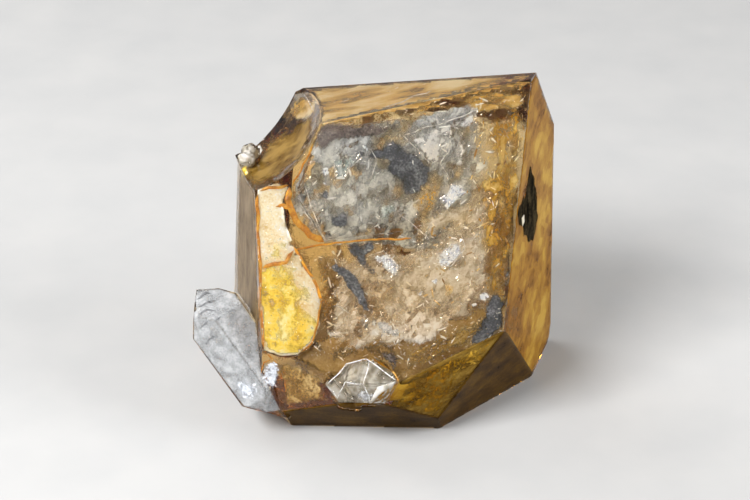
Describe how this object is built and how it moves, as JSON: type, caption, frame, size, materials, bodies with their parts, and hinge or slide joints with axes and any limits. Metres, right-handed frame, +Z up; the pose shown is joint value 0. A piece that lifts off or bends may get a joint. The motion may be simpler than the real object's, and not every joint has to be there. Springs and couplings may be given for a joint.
{
  "type": "herkimer diamond quartz",
  "caption": "Stout doubly terminated quartz crystal, clear to golden brown, with smaller clear crystals grown into its side, front edge and shoulder. It rests on a flat base.",
  "frame": {"origin": "on the resting plane, under the middle of the cluster's box", "axes": "+Z up, with the large front face looking towards -Y and the side crystal at -X"},
  "size_m": [0.0666, 0.0514, 0.0621],
  "materials": {
    "quartz": "clear, glossy growth faces with golden-brown iron staining"
  },
  "bodies": {
    "root": {"crystal_cluster": "quartz"}
  },
  "joints": []
}
